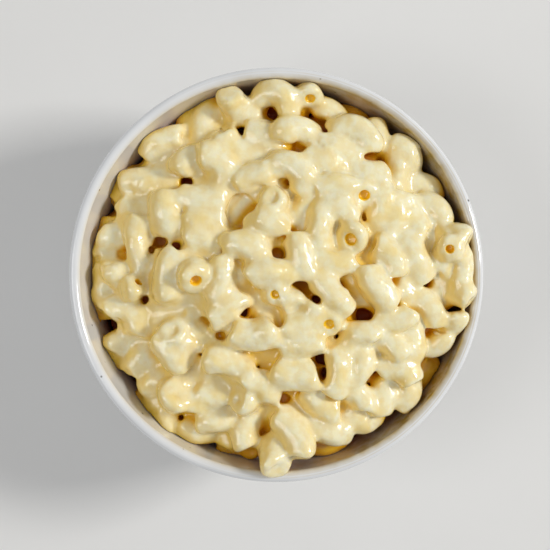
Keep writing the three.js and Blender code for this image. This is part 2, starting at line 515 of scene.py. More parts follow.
@dataclass
class Bowl:
    """The round bowl: a steep wall with a half-round lip, on a foot ring.

    Sauce is left on the inner wall from above the lip's inner edge, and fully so a span further
    down: evenly all round, with more in the east and less in the west. The same tint paints shade
    on the east inner wall and the inside of the east lip, which face away from the window lamp. The
    foot ring is unglazed up to bare_height.
    """

    sectors: int = 256
    wall: float = 4.0
    foot_radius: float = 37.0
    foot_width: float = 5.0
    foot_height: float = 5.0
    floor_height: float = 10.0
    recess_depth: float = 4.0
    flat_floor_radius: float = 27.0
    bare_height: float = 0.3
    # These shape a tint that is sauce on the wall and painted shade on the east side.
    smear_and_shade_even: float = 0.5
    smear_and_shade_east: float = 0.75
    smear_and_shade_start: float = 0.9
    smear_and_shade_span: float = 2.2
    rim_radius: float = field(init=False)
    height: float = field(init=False)

    def __post_init__(self) -> None:
        """Takes the bowl's size from the frame."""
        low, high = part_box("bowl")
        self.rim_radius = (high.x - low.x) / 2 / MM
        self.height = high.z / MM

    def inner_wall(self, steps: int = 40) -> Array:
        """The inner wall from the lip down to the edge of the flat floor."""
        mouth = self.rim_radius - self.wall
        return bezier([(mouth, self.height - self.wall / 2), (mouth - 3.5, 36.4),
                       (55.5, self.floor_height + 2), (self.flat_floor_radius, self.floor_height)], steps)

    def lip(self, steps: int = 16) -> Array:
        """The half-round lip from its outside over the top to its inside.

        Args:
            steps: How many spans it is drawn in.

        Returns:
            Radius and height of each point.
        """
        turn = np.linspace(0, np.pi, steps + 1)
        radius = self.wall / 2
        return np.stack([self.rim_radius - radius + radius * np.cos(turn),
                         self.height - radius + radius * np.sin(turn)], -1)

    def outer_wall(self, steps: int = 36) -> Array:
        """The outer wall from the top of the foot ring up to the lip."""
        return bezier([(self.foot_radius, self.foot_height), (62.25, self.foot_height + 4),
                       (self.rim_radius - 2.5, 35.1), (self.rim_radius, self.height - self.wall / 2)], steps)

    def profile(self) -> Array:
        """The whole section from the middle of the underside round to the middle of the floor.

        Returns:
            Radius and height of each point.
        """
        inside = self.foot_radius - self.foot_width
        fillet = bezier([(self.foot_radius - 0.5, 2.5), (self.foot_radius - 0.4, 4.2),
                         (self.foot_radius - 0.3, 4.9), (self.foot_radius, self.foot_height)], 4)
        under = np.array([(0, self.recess_depth), (inside - 4, self.recess_depth),
                          (inside - 2.2, self.recess_depth - 0.2), (inside - 1.4, 3.2), (inside, 0.6),
                          (inside + 0.2, 0.15), (inside + 0.6, 0), (self.foot_radius - 1.1, 0),
                          (self.foot_radius - 0.7, 0.15), (self.foot_radius - 0.5, 0.6)])
        return np.vstack([under, fillet[:-1], self.outer_wall(), self.lip()[1:], self.inner_wall()[1:],
                          (0, self.floor_height)])

    def clearance(self, points: Array) -> tuple[Array, Array]:
        """How far points inside the bowl or over its lip are from its glaze.

        Args:
            points: Places in millimetres, one row each.

        Returns:
            Each distance, and the direction from the nearest glaze to the point as radius and height.
        """
        section = np.vstack([self.lip(8), self.inner_wall(16)[1:], (0, self.floor_height)])
        start, run = section[:-1], np.diff(section, axis=0)
        flat = np.stack([np.hypot(points[:, 0], points[:, 1]), points[:, 2]], -1)
        reach = flat[:, None] - start
        share = np.clip((reach * run).sum(-1) / (run**2).sum(-1), 0, 1)
        away = reach - share[..., None] * run
        distance = np.linalg.norm(away, axis=-1)
        nearest = distance.argmin(1)
        rows = np.arange(len(points))
        best = distance[rows, nearest]
        return best, away[rows, nearest] / np.maximum(best, 1e-6)[:, None]

    def wall_radius(self, height: Array) -> Array:
        """The inner wall's radius at each height, and the mouth's above it."""
        wall = self.inner_wall()[::-1]
        return np.interp(height, wall[:, 1], wall[:, 0])

    def smeared_and_shaded(self, points: Array, depth: Array) -> Array:
        """How much sauce the food has left on the wall, and painted shade with it: most in the east, where
        the inner wall and the lip's inside face away from the window lamp, and none in the west.

        Args:
            points: The bowl's vertices in millimetres.
            depth: How far each of them on the inner wall is below the lip, and nought elsewhere.

        Returns:
            A number from 0 to 1 for each vertex.
        """
        bearing = np.arctan2(points[:, 1], points[:, 0])
        side = np.clip(self.smear_and_shade_even + self.smear_and_shade_east * np.cos(bearing), 0, 1)
        return side * np.clip((depth + self.smear_and_shade_start) / self.smear_and_shade_span, 0, 1) * (depth > 0)

    def build(self) -> Object:
        """Builds and glazes the bowl, in place of the plain one.

        Returns:
            The piece.
        """
        points, faces = lathe(self.profile(), self.sectors)
        piece = make_piece("porcelain_bowl", points, faces)
        inner = self.wall_radius(points[:, 2]) + 0.6 * self.wall
        within = np.hypot(points[:, 0], points[:, 1]) < inner
        depth = np.where(within & (points[:, 2] > self.floor_height - 1), self.height - points[:, 2], 0.0)
        # Depth below the lip also drives the painted dark shade deep down on the inner wall.
        mark(piece, Mark.DEPTH, depth)
        # This mark is sauce on the wall and painted shade on the east side and the east lip's inside.
        mark(piece, Mark.SMEAR, self.smeared_and_shaded(points, depth))
        piece.data.materials.append(GlazedPorcelain().build())
        piece.data.materials.append(BareBisque().build())
        for polygon in piece.data.polygons:
            polygon.material_index = int(polygon.center.z < self.bare_height * MM)
        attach(piece, BODY)
        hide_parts("bowl")
        return piece


# ---- How the elbows lie ----


class Lie(NamedTuple):
    """How one elbow lies: one mouth, its middle and its other mouth.

    Each place is millimetres east and north, as the eye over the bowl sees it against the rim, and
    millimetres above the heap's dome. Stout is how thick it is with its coat, against most of them.
    """

    start: Place
    middle: Place
    end: Place
    stout: float = 1.0


class Ring(NamedTuple):
    """How an elbow lies that shows one mouth as a ring, looking up at the eye.

    The mouth's place is as in Lie, the body curves down and away towards the bearing, in degrees
    from east, and the mouth leans back from it by some degrees. Filled is how far sauce has run
    into the mouth, from 0 to 1.
    """

    mouth: Place
    bearing: float
    lean: float = 15.0
    stout: float = 1.0
    filled: float = 0.0

    def lie(self, bend: float = 7.0, turn: float = 125.0) -> Lie:
        """Works out where the middle and the hidden mouth are.

        Args:
            bend: The elbow's bend radius in millimetres.
            turn: How far it turns from mouth to mouth, in degrees.

        Returns:
            The three places.
        """
        lean, bearing = math.radians(self.lean), math.radians(self.bearing)
        places = []
        for share in (0.0, 0.5, 1.0):
            angle = math.radians(turn) * share - lean
            run = bend * (math.cos(lean) - math.cos(angle))
            drop = bend * (math.sin(angle) + math.sin(lean))
            places.append((self.mouth[0] + run * math.cos(bearing), self.mouth[1] + run * math.sin(bearing),
                           self.mouth[2] - drop))
        return Lie(*places, self.stout)


RINGS: tuple[Ring, ...] = (
    Ring((27.5, 13, 3.5), 200, 12, 1.3),
    Ring((31.5, 29.5, 3), 270, 10, 1.1),
    Ring((62.5, 9.3, 13), 235, 5, 1.0, 0.1),
    Ring((-29.3, -1, 4.5), 290, 30, 1.25),
    Ring((-37, -21.5, 3), 125, 20, 1.1, 0.75),
    Ring((-34.8, -44.5, 4), 62, 15, 1.3, 0.8),
    Ring((-0.8, 26.5, 3), 95, 15, 1.0, 0.7),
    Ring((0.8, -7, 2.5), 200, 15, 0.9, 0.5),
    Ring((19.3, -16.8, 2.5), 215, 20, 0.95, 0.6),
    Ring((11.8, 65.3, 9), 235, 15, 1.0, 0.6),
    Ring((-12, -44.5, 2.5), 140, 35, 1.0, 0.7),
    Ring((5, -10, 2), 300, 35, 1.0, 0.8),
    Ring((-51, -4.5, 1.5), 40, 40, 1.0),
)

# The elbows that give the heap its look, from north-west to south-east.
NORTH_WEST: tuple[Lie, ...] = (
    Lie((-46.5, 42.5, -3), (-43, 47, -1), (-34, 50, 0)),
    Lie((-21.5, 61.5, -3), (-26, 58, -1.5), (-25.5, 51, -1)),
    Lie((-35, 52, -6), (-31.5, 56, -6), (-26.5, 60.5, -7)),
    Lie((-17.5, 66.5, 9), (-13.5, 60.5, 6), (-6, 57.5, 3), 1.2),
    Lie((-5.5, 62.5, 1), (-0.5, 66.5, 5), (4, 58, 3), 1.05),
    Lie((-10, 51, -1), (-4.5, 49.5, 0), (2, 45.5, -0.5), 1.1),
    Lie((-18, 51, 1.5), (-13.5, 45.5, 0.5), (-5, 42.5, 0)),
    Lie((-26, 42, 1), (-18.5, 36, 1.5), (-23, 28.5, 0.5), 1.1),
    Lie((-34, 38.5, 0), (-30, 41.5, 1), (-24.5, 41, 0.5)),
    Lie((-34, 28, -0.5), (-28, 27, 0.5), (-21, 26.5, 0)),
    Lie((-56, 33.5, -1), (-47, 34, 1), (-36.5, 33, 0.5)),
    Lie((-54.5, 26, -3), (-49.5, 23.5, -2.5), (-43.5, 25, -2)),
    Lie((-39, 28, 0), (-39.5, 22.5, 1), (-38.5, 17, 0), 1.1),
    Lie((-49, 19.5, -1), (-50.5, 12, -0.5), (-47.5, 3, -1), 0.9),
    Lie((-60.5, 13, -2), (-57, 13.5, -1.5), (-53, 16, -4)),
    Lie((-61.5, 7, -5), (-58, 7, -5), (-53.5, 6.5, -7), 0.85),
    Lie((-17, 20, -7), (-12, 25, -7.5), (-7, 29, -7)),
    Lie((-14, 34.5, -0.5), (-9, 36, 0), (-3, 37.5, 0.5), 0.85),
    Lie((-8, 17.5, 0), (-3, 19.5, 1.5), (1, 17.5, 1.5)),
    Lie((-15.5, 9.5, 0.5), (-11, 11.5, 1.5), (-7, 7, 1), 1.1),
    Lie((-30, 20.5, -2), (-25, 20.5, -1.5), (-20, 21.5, -2.5)),
    Lie((-30, 14, -1), (-25, 12.5, -0.5), (-20.5, 8, -0.5)),
    Lie((-36, 7, -0.5), (-39.5, 0, 0), (-39, -7, 0)),
    Lie((-19, 4.5, -0.5), (-18.5, -1, 0.5), (-21, -7.5, 0), 0.9),
    Lie((-57, 3, -3), (-55.5, -1.5, -3), (-51, 3, -5)),
)
NORTH_EAST: tuple[Lie, ...] = (
    Lie((15, 58, -3), (18.5, 59.5, -2), (20.5, 54.5, -4)),
    Lie((22.5, 58.5, -7), (27, 57.5, -7), (31, 54, -8)),
    Lie((3, 48.5, 0.5), (8.5, 52, 1.5), (12, 46.5, 0)),
    Lie((1, 38.5, 0.5), (8, 38, 1.5), (10, 31, 1), 1.05),
    Lie((21, 50.5, 1), (27, 53, 2), (33.5, 44.5, 1.5), 1.05),
    Lie((16.5, 46, 1.5), (21.5, 44, 1.5), (28, 41, 1)),
    Lie((59, 13, 1), (63.5, 14.5, 5), (67.5, 13.5, 7), 0.9),
    Lie((67, 6.5, 8), (67.5, 1.5, 9), (66, -4, 8), 0.85),
    Lie((69, -6, 9), (65.5, -5.5, 8), (60, -7, 4)),
    Lie((42.5, 46.5, 0), (46.5, 44.5, 0), (46.5, 38.5, -1)),
    Lie((36, 54.5, 1), (36.5, 49.5, 1), (40.5, 45, 0)),
    Lie((49.5, 33, -4), (53, 32.5, -4), (56, 29.5, -5)),
    Lie((52.5, 25.5, -1), (58, 23.5, 0), (58.5, 17, 0.5)),
    Lie((46, 27.5, 0), (48, 21.5, 0.5), (52.5, 15.5, 0.5)),
    Lie((41.5, 27, 0.5), (43, 20, 1), (40, 14, 0)),
    Lie((45, 43.5, -0.5), (44.5, 37, 0), (45, 30, -0.5)),
    Lie((26.5, 40, 0), (31, 37, 1), (37.5, 35.5, 0)),
    Lie((16, 30.5, 0.5), (21, 32, 1), (27, 30.5, 0.5)),
    Lie((17, 24, -0.5), (21.5, 25, 0.5), (26, 21, 0.5)),
    Lie((24, 38.5, 0), (17, 41, 0.5), (12, 43.5, 0)),
    Lie((36.5, 31, 0.5), (39, 26, 1), (36, 20.5, 0.5)),
    Lie((48.5, 13, 0.5), (49.5, 6, 1.5), (52.5, -0.5, 0), 1.15),
    Lie((56.5, 14, 0), (55.5, 8, 0), (56.5, 2, 0), 0.9),
    Lie((37, 10.5, 0.5), (41, 7, 1), (43, 1, 0.5)),
    Lie((7, 12, 0.5), (8.8, 6.5, 1.8), (10.5, 1, 1)),
    Lie((15.5, 7, -1), (20, 4.5, -0.5), (26, 5, -1)),
    Lie((5.5, -0.5, 1), (-1, 2, 1.8), (-8.5, 0, 1), 1.05),
    Lie((13, 27, -3), (9.5, 22, -3), (10.5, 15.5, -3)),
    Lie((17.5, 21.5, 0), (15.5, 16, 0.5), (17, 10.5, -1)),
)
SOUTH_WEST: tuple[Lie, ...] = (
    Lie((-60, 2, -4), (-61, -4, -3.5), (-60, -9.5, -5)),
    Lie((-60, -12, -1), (-53.5, -11.5, 0), (-49, -19.5, 0)),
    Lie((-58.5, -26, -4), (-53.5, -23.5, -3.5), (-48, -26, -5)),
    Lie((-50.5, -34, -5), (-49, -29, -4.5), (-42.5, -29, -4)),
    Lie((-47, -42, -4), (-43, -39, -3), (-37.5, -35.5, -3)),
    Lie((-40, -22, 0), (-37, -26.5, 1), (-33.5, -30.5, -0.5)),
    Lie((-30, -47, -1), (-25, -43.5, 0), (-20, -45.5, -1)),
    Lie((-45.5, -47.5, -4), (-41, -51, -3), (-38.5, -56, -3)),
    Lie((-33, -55, -3), (-29, -56.5, -2), (-24, -56, -3)),
    Lie((-26, -53.5, -1), (-22, -51.5, 0), (-17, -50, -1)),
    Lie((-18.5, -61.5, -5), (-17.5, -56.5, -5), (-17.5, -51, -6)),
    Lie((-10.5, -61.5, 1), (-11.5, -56.5, 1.5), (-9, -50.5, 0.5), 1.1),
    Lie((-0.5, -72, 12), (-0.5, -66.5, 11), (0.5, -60, 6), 1.25),
    Lie((-22.5, -15.5, 0), (-18.5, -12.5, 1), (-14.5, -7.5, 0.5)),
    Lie((-14.5, -20.5, 1), (-8, -21.5, 1.5), (-1, -20, 1.5), 1.15),
    Lie((-24, -30.5, 0), (-18, -31.5, 1), (-12, -35.5, 0.5)),
    Lie((-12, -38.5, 1), (-6, -38, 0.5), (-3, -43.5, 0)),
    Lie((-33, -17, -3), (-29, -21, -4), (-27.5, -27.5, -4)),
)
SOUTH_EAST: tuple[Lie, ...] = (
    Lie((16.5, -1.5, 0.5), (20.5, -7, 1.5), (25, -13, 0.5)),
    Lie((25.5, 1.5, -4), (29, -3, -4), (31.5, -9, -5)),
    Lie((32.5, 0.5, 0.5), (36, -5, 1.8), (40.5, -10.5, 0.5), 1.15),
    Lie((48, 2, -1), (46.5, -4, -0.5), (48, -9.5, -1)),
    Lie((4, -18.5, 0.5), (9.5, -17, 1), (14, -12.5, 1)),
    Lie((3, -25, 0), (9, -24.5, 1), (15.5, -24.5, 0.5)),
    Lie((1, -36, 0.5), (7, -36.5, 1.5), (13, -37, 1), 1.1),
    Lie((22, -28.5, 0), (23.5, -34.5, 1), (21, -42, 0.5)),
    Lie((31, -29, 0.5), (30.5, -34, 1), (26.5, -38, 0)),
    Lie((25, -42.5, -0.5), (29, -42, 0), (31.5, -47, -1)),
    Lie((28, -27, 0), (30, -21.5, 1.2), (35.5, -23.5, 0.5)),
    Lie((36, -21.5, 0.5), (41, -24.5, 1), (45, -28.5, 0)),
    Lie((38, -34, 0), (44, -33.5, 1.2), (49, -37, 0), 1.1),
    Lie((48, -38, -0.5), (47.5, -42, -0.5), (45.5, -46, -1.5)),
    Lie((39, -38, -1), (38.5, -43, -1), (36.5, -48.5, -2)),
    Lie((27, -50.5, -2), (31, -52, -2), (35.5, -49.5, -3)),
    Lie((15, -53.5, -1), (18.5, -56.5, 0), (24, -56, -1)),
    Lie((1, -51, 0.5), (6, -56, 1.5), (8.5, -64.5, 4), 1.15),
    Lie((13, -60.5, -6), (18, -61.5, -6), (23, -58.5, -6)),
    Lie((51.5, -8.5, 0), (55.5, -11.5, 0.5), (58, -17, 0.5)),
    Lie((59, -18.5, 0.5), (63, -19, 4), (65.5, -15.5, 6), 0.8),
    Lie((52.5, -24.5, -2), (57, -25, -1), (59.5, -20.5, 0)),
    Lie((47, -18.5, 0), (49.5, -24, 0.5), (47, -29.5, 0)),
    Lie((54, -31, -8), (53.5, -36, -8), (50, -41, -8)),
    Lie((62, -3, 2), (59, -6, 1), (58, -12, 0)),
    Lie((12, -42.5, -1), (15.5, -46, -0.5), (21, -48, -1.5)),
    Lie((36.5, -16.5, 0.5), (42, -17, 1), (47.5, -14, 0)),
)

# Where the sauce hasn't run in between the elbows. Each row is a hole's middle, millimetres east and
# north, its radius, and how far it goes below the heap's dome.
HOLES: tuple[tuple[float, float, float, float], ...] = (
    (-12.6, 51, 2.4, 8.5), (-19.5, 51.5, 1.1, 5), (-32.2, 33, 2.1, 8.5), (-13, 23, 5.8, 4.5),
    (-15, 3, 2.5, 8.5), (-42, 12, 1.9, 8.5), (-37.5, 9.5, 2.4, 8.5), (-45.5, 8.8, 1.1, 6.5),
    (-12.2, -13.3, 1.8, 8.5), (31.5, -15, 2.5, 10), (16.5, -30, 2.2, 8.5), (17.7, -35.5, 1.4, 6.5),
    (0.5, 7.2, 2.3, 5), (14.5, -9, 1.1, 6), (36.3, 37.8, 1.5, 6.5), (38, 41, 1.1, 5),
    (-1.5, 58, 1.9, 7), (11.5, 58.5, 1.2, 7), (51.7, 20.3, 1.4, 8.5), (61.7, 3.3, 1.4, 8.5),
    (54, -4, 1.8, 7), (26, -2.5, 2.4, 5), (28.5, -6.5, 1.6, 6), (-27, -27.5, 1.6, 6),
    (-20, -22, 1.4, 6.5), (-6, -35, 1.7, 6), (3, 33, 1.8, 4.5), (33, -40.5, 1.0, 6.5),
    (-47.6, -9, 1.3, 6.5), (-55.5, 8, 1.7, 7), (46.5, -11.5, 1.5, 4.5), (33, 21, 1.4, 3),
    (15, -48, 1.2, 6), (57, 8, 1.3, 6), (-26.5, -17.5, 2.2, 4.5), (23.5, -22, 1.7, 6),
    (35, -33.5, 1.6, 5), (-60, 22.5, 2.2, 6.5), (3, -45, 1.6, 5), (-34.5, -51.8, 0.7, 6.5),
    (-64.5, 6, 0.8, 6.5), (-35.5, -55, 1.1, 7), (15.6, 47, 1.2, 3), (18.4, 47.8, 1.2, 3),
)

# Where it has run together thickly: a pool's middle, its radius, and how far it stands above the
# sauce around it.
POOLS: tuple[tuple[float, float, float, float], ...] = (
    (-29, 13, 6, 1.0), (-39.5, -1, 7, 2.2), (-22, -14, 6, 1.6), (20, 4, 6, 1.8), (10, 20, 6.5, 1.2),
    (40, 6, 6.5, 1.6), (-46, 44, 5, 1.2), (50, -6, 6, 1.4), (-28, 48, 6.5, 1.8), (-25, 19, 5, 0.6),
    (7, -51, 7, 2.0), (-33, 4, 5, 1.4), (42, 24, 6, 1.0), (24, 28, 7, 0.8), (-6, -6, 6, 0.8),
    (-50, -32, 10, -3.5), (-58, 2, 9, -3), (54, -34, 8, -4), (20, 60, 9, -3), (-28, -22, 5, -1),
    (29, -3, 5, -1.8), (-26, -54, 8, -1.5), (56, 30, 8, -2.5), (38, -46, 8, -0.8), (0, -45, 5, -0.4),
    (-24, 57, 7, -2), (52, 21, 5, -2), (46, 9, 4, -1.5),
)

# Where nothing lies by the wall, so that one sees down past the elbows: a gap's middle and radius.
WALL_GAPS: tuple[tuple[float, float, float], ...] = (
    (53, 39, 4.5), (58.5, 30, 2.6), (62.5, 17.5, 2.6), (42.5, 51, 2.4), (31.5, 57, 1.8), (24, 61, 2.2),
    (-10.5, 65.5, 2.2), (-36.5, 54.3, 1.4), (-50, 42, 2.2), (-61.5, 25, 2.4), (-60.5, -18.5, 3),
    (-53.5, -38, 4), (-44, -49.5, 1.2), (-36, -55.5, 1), (-22.5, -60, 2), (-9, -66.5, 2.8),
    (17, -61.5, 1.8), (35, -53, 1.6), (44, -49, 1.8), (56, -32, 2.2), (62.5, -24, 2.4), (65.5, -12, 2.4),
)


def squares(vectors: Array) -> Array:
    """Each row's squared length, as a column."""
    return (vectors**2).sum(-1, keepdims=True)


@dataclass
class Elbows:
    """Many elbows at once, each an arc of tube with its own bend, length, place and turn.

    An elbow's own axes run along the tube at its middle, out from its bend and square to both, with
    the origin at its middle. Mouths says how deep each mouth is free of sauce, from 0 to 1.
    """

    bend: Array
    half_turn: Array
    radius: Array
    bore: Array
    place: Array
    axes: Array
    mouths: Array

    @property
    def count(self) -> int:
        """How many elbows there are."""
        return len(self.bend)

    def centre_line(self, share: Array) -> Array:
        """Points along every centre line.

        Args:
            share: Where along it, from -1 at one mouth to 1 at the other.

        Returns:
            The points, by elbow, share and coordinate.
        """
        turn = self.half_turn[:, None] * share
        bend = self.bend[:, None]
        own = np.stack([bend * np.sin(turn), bend * (np.cos(turn) - 1), np.zeros_like(turn)], -1)
        return own @ self.axes.transpose(0, 2, 1) + self.place[:, None]

    def only(self, kept: Array) -> "Elbows":
        """The elbows that are kept, out of these."""
        return Elbows(*(getattr(self, name)[kept] for name in self.__dataclass_fields__))

    @classmethod
    def joined(cls, first: "Elbows", second: "Elbows") -> "Elbows":
        """Puts two lots of elbows together."""
        return cls(*(np.concatenate([getattr(first, name), getattr(second, name)])
                        for name in cls.__dataclass_fields__))


@dataclass
class Packing:
    """Lays the elbows in the bowl: the listed ones, and fillers under them, then settles all.

    The heap's dome is the height of the top layer's centre lines. Hidden ends are what is added to
    an elbow in the middle of the heap, whose ends lie under others. Bores, mouths and spreads are
    ranges to draw from. As the elbows settle, each stands as a row of beads; hold is how firmly a
    listed one keeps its place, squeeze is how near two may lie against their radii, and haste is
    how much of an overlap goes in one round.
    """

    bowl: Bowl
    crown: float = 71.0
    shoulder: float = 55.5
    shoulder_radius: float = 66.0
    lean: float = 2.0
    lean_east: float = 0.9
    lean_north: float = -0.4
    steepness: float = 2.4
    eye_height: float = 468.0
    tube_radius: float = 4.35
    tube_spread: tuple[float, float] = (-0.2, 0.25)
    filler_count: int = 58
    filler_radius: float = 63.0
    filler_spread: tuple[float, float] = (-0.2, 0.2)
    filler_depths: tuple[float, float] = (7.5, 10.5)
    filler_bends: tuple[float, float] = (6.5, 9.0)
    filler_half_turns: tuple[float, float] = (50.0, 85.0)
    filler_bores: tuple[float, float] = (1.3, 1.8)
    bed_depth: float = 15.0
    lengths: tuple[float, float] = (13.5, 26.0)
    bends: tuple[float, float] = (5.6, 22.0)
    bores: tuple[float, float] = (1.4, 1.75)
    closed_mouths: tuple[float, float] = (0.0, 0.35)
    hidden_ends: float = 2.5
    edge_width: float = 8.0
    gap_margin: float = 4.5
    hold: float = 0.3
    sinking: float = 0.05
    squeeze: float = 0.96
    haste: float = 1.2
    wall_clearance: float = 0.2
    bed_clearance: float = 1.0
    beads: int = 7
    bead_reach: float = 0.82
    rounds: int = 90
    pairing_rounds: int = 10
    pairing_reach: float = 11.0
    seed: int = 11

    def dome(self, east: Array, north: Array) -> Array:
        """The height of the top layer's centre lines.

        Args:
            east: Millimetres east of the bowl's axis.
            north: Millimetres north of it.

        Returns:
            The height over each place.
        """
        share = np.hypot(east, north) / self.shoulder_radius
        tilt = self.lean * (self.lean_east * east + self.lean_north * north) / self.shoulder_radius
        return self.shoulder + (self.crown - self.shoulder) * (1 - share**self.steepness) + tilt

    def bed(self, east: Array, north: Array) -> Array:
        """The height of the core that everything lies on."""
        return self.dome(east, north) - self.bed_depth

    def lies(self) -> list[Lie]:
        """How every listed elbow lies, the rings first."""
        return [ring.lie() for ring in RINGS] + list(NORTH_WEST + NORTH_EAST + SOUTH_WEST + SOUTH_EAST)

    def placed(self) -> Array:
        """Works out where the listed elbows are, behind where the eye sees them against the rim.

        Returns:
            Their places in millimetres, by elbow, place and coordinate.
        """
        rows = np.array([row[:3] for row in self.lies()], float)
        rows[..., 2] += self.dome(*rows[:, :1, :2].T).T
        rows[..., :2] *= 1 - (rows[..., 2:] - self.bowl.height) / self.eye_height
        return rows

    @staticmethod
    def arcs(rows: Array) -> tuple[Array, Array, Array, Array]:
        """Fits an arc through each elbow's three places.

        Args:
            rows: The places in millimetres, by elbow, place and coordinate.

        Returns:
            The arcs' bend radii, half of the angle that each turns, their apexes and their axes.
        """
        middle = rows[:, 1]
        start, end = rows[:, 0] - middle, rows[:, 2] - middle
        across = np.cross(start, end)
        centre = np.cross(squares(start) * end - squares(end) * start, across) / (2 * squares(across))
        bend = np.sqrt(squares(centre))[:, 0]
        out = -centre / bend[:, None]
        side = -across / np.sqrt(squares(across))
        along = np.cross(out, side)
        first, last = (np.arctan2(((leg - centre) * along).sum(-1), ((leg - centre) * out).sum(-1))
                       for leg in (start, end))
        apex = ((first + last) / 2)[:, None]
        turned_out = np.cos(apex) * out + np.sin(apex) * along
        turned_along = np.cos(apex) * along - np.sin(apex) * out
        flip = np.sign(last - first)[:, None]
        axes = np.stack([turned_along * flip, turned_out, side * flip], -1)
        return bend, np.abs(last - first) / 2, middle + centre + turned_out * bend[:, None], axes

    def laid(self) -> Elbows:
        """Lays the listed elbows.

        Returns:
            The elbows, the rings first.
        """
        chance = np.random.default_rng(self.seed)
        rows = self.placed()
        count = len(rows)
        bend, half_turn, place, axes = self.arcs(rows)
        inner = np.hypot(*rows[:, 1, :2].T) < self.shoulder_radius - self.edge_width
        length = np.clip(2 * half_turn * bend + self.hidden_ends * inner, *self.lengths)
        bend = np.clip(bend, *self.bends)
        mouths = chance.uniform(*self.closed_mouths, (count, 2))
        mouths[: len(RINGS), 0] = [1 - ring.filled for ring in RINGS]
        stout = np.array([row.stout for row in self.lies()])
        radius = self.tube_radius * stout + chance.uniform(*self.tube_spread, count)
        bore = chance.uniform(*self.bores, count) * stout
        return Elbows(bend, length / (2 * bend), radius, bore, place, axes, mouths)

    def fillers(self) -> Elbows:
        """Spreads the elbows of the layer beneath evenly, turned anyhow, clear of the gaps by the wall.

        Returns:
            The elbows.
        """
        chance = np.random.default_rng(self.seed + 1)
        count = self.filler_count
        number = np.arange(count)
        bearing = number * math.pi * (3 - math.sqrt(5))
        radius = self.filler_radius * np.sqrt((number + 0.5) / count)
        east, north = radius * np.cos(bearing), radius * np.sin(bearing)
        height = self.dome(east, north) - chance.uniform(*self.filler_depths, count)
        turned, _ = np.linalg.qr(chance.normal(size=(count, 3, 3)))
        turned *= np.sign(np.linalg.det(turned))[:, None, None]
        elbows = Elbows(
            chance.uniform(*self.filler_bends, count),
            np.radians(chance.uniform(*self.filler_half_turns, count)),
            self.tube_radius + chance.uniform(*self.filler_spread, count),
            chance.uniform(*self.filler_bores, count),
            np.stack([east, north, height], -1), turned, np.zeros((count, 2)))
        gaps = np.array(WALL_GAPS)
        away = np.hypot(east[:, None] - gaps[:, 0], north[:, None] - gaps[:, 1]) - gaps[:, 2]
        return elbows.only(away.min(1) > self.gap_margin)

    def pushed_apart(self, beads: Array, radii: Array, one: Array, two: Array) -> Array:
        """Moves beads that overlap away from each other.

        Args:
            beads: The beads' middles in millimetres, one row each.
            radii: Their radii.
            one: The first bead of each pair that may touch.
            two: The second bead of each.

        Returns:
            The beads' new middles.
        """
        apart = beads[two] - beads[one]
        distance = np.linalg.norm(apart, axis=-1)
        overlap = np.clip(self.squeeze * (radii[one] + radii[two]) - distance, 0, None)
        push = 0.5 * (overlap / np.maximum(distance, 1e-6))[:, None] * apart
        count = len(beads)
        moved = np.stack([np.bincount(two, way, count) - np.bincount(one, way, count) for way in push.T], -1)
        touching = np.bincount(one, overlap > 0, count) + np.bincount(two, overlap > 0, count)
        return beads + moved / np.maximum(touching, 1)[:, None] * self.haste

    def kept_in(self, beads: Array, radii: Array) -> Array:
        """Lets beads sink a little, and keeps them off the glaze and on the core.

        Args:
            beads: The beads' middles in millimetres, one row each.
            radii: Their radii.

        Returns:
            The beads' new middles.
        """
        beads = beads - (0, 0, self.sinking)
        clear, away = self.bowl.clearance(beads)
        inwards = np.clip(radii + self.wall_clearance - clear, 0, None)
        bearing = beads[:, :2] / np.maximum(np.hypot(beads[:, 0], beads[:, 1]), 1e-6)[:, None]
        beads[:, :2] += (inwards * away[:, 0])[:, None] * bearing
        beads[:, 2] += inwards * away[:, 1]
        lowest = self.bed(beads[:, 0], beads[:, 1]) + self.bed_clearance
        beads[:, 2] = np.maximum(beads[:, 2], lowest)
        return beads

    @staticmethod
    def stiffened(beads: Array, shape: Array) -> tuple[Array, Array]:
        """Gives each elbow's beads its own shape back, where they fit it best.

        Args:
            beads: The beads' middles in millimetres, by elbow, bead and coordinate.
            shape: The same about their mean, before anything moved.

        Returns:
            The beads' new middles, and how each elbow is turned.
        """
        middle = beads.mean(1, keepdims=True)
        left, _, right = np.linalg.svd(np.einsum("eki,ekj->eij", beads - middle, shape))
        left[..., -1] *= np.sign(np.linalg.det(left @ right))[:, None]
        turned = left @ right
        return shape @ turned.transpose(0, 2, 1) + middle, turned

    def settled(self) -> Elbows:
        """Lays every elbow and lets them push apart, each keeping its shape.

        Returns:
            The elbows where they come to rest.
        """
        laid = self.laid()
        elbows = Elbows.joined(laid, self.fillers())
        share = np.linspace(-self.bead_reach, self.bead_reach, self.beads)
        beads = home = elbows.centre_line(share)
        shape = beads - beads.mean(1, keepdims=True)
        owner = np.repeat(np.arange(elbows.count), self.beads)
        radii = np.repeat(elbows.radius, self.beads)
        held = np.where(np.arange(elbows.count) < laid.count, self.hold, 0.0)[:, None, None]
        for turn in range(self.rounds):
            flat = beads.reshape(-1, 3)
            if turn % self.pairing_rounds == 0:
                gap = np.linalg.norm(flat[:, None] - flat[None], axis=-1)
                near = np.triu(gap < self.pairing_reach, 1)
                pairs = np.nonzero(near & (owner[:, None] != owner[None]))
            flat = self.kept_in(self.pushed_apart(flat, radii, *pairs), radii)
            beads = flat.reshape(beads.shape)
            beads, turned = self.stiffened(beads + held * (home - beads), shape)
        start = elbows.centre_line(share).mean(1)
        elbows.place = beads.mean(1) + np.einsum("eij,ej->ei", turned, elbows.place - start)
        elbows.axes = turned @ elbows.axes
        return elbows


# ---- The sauce, worked out on a lattice of sample points ----


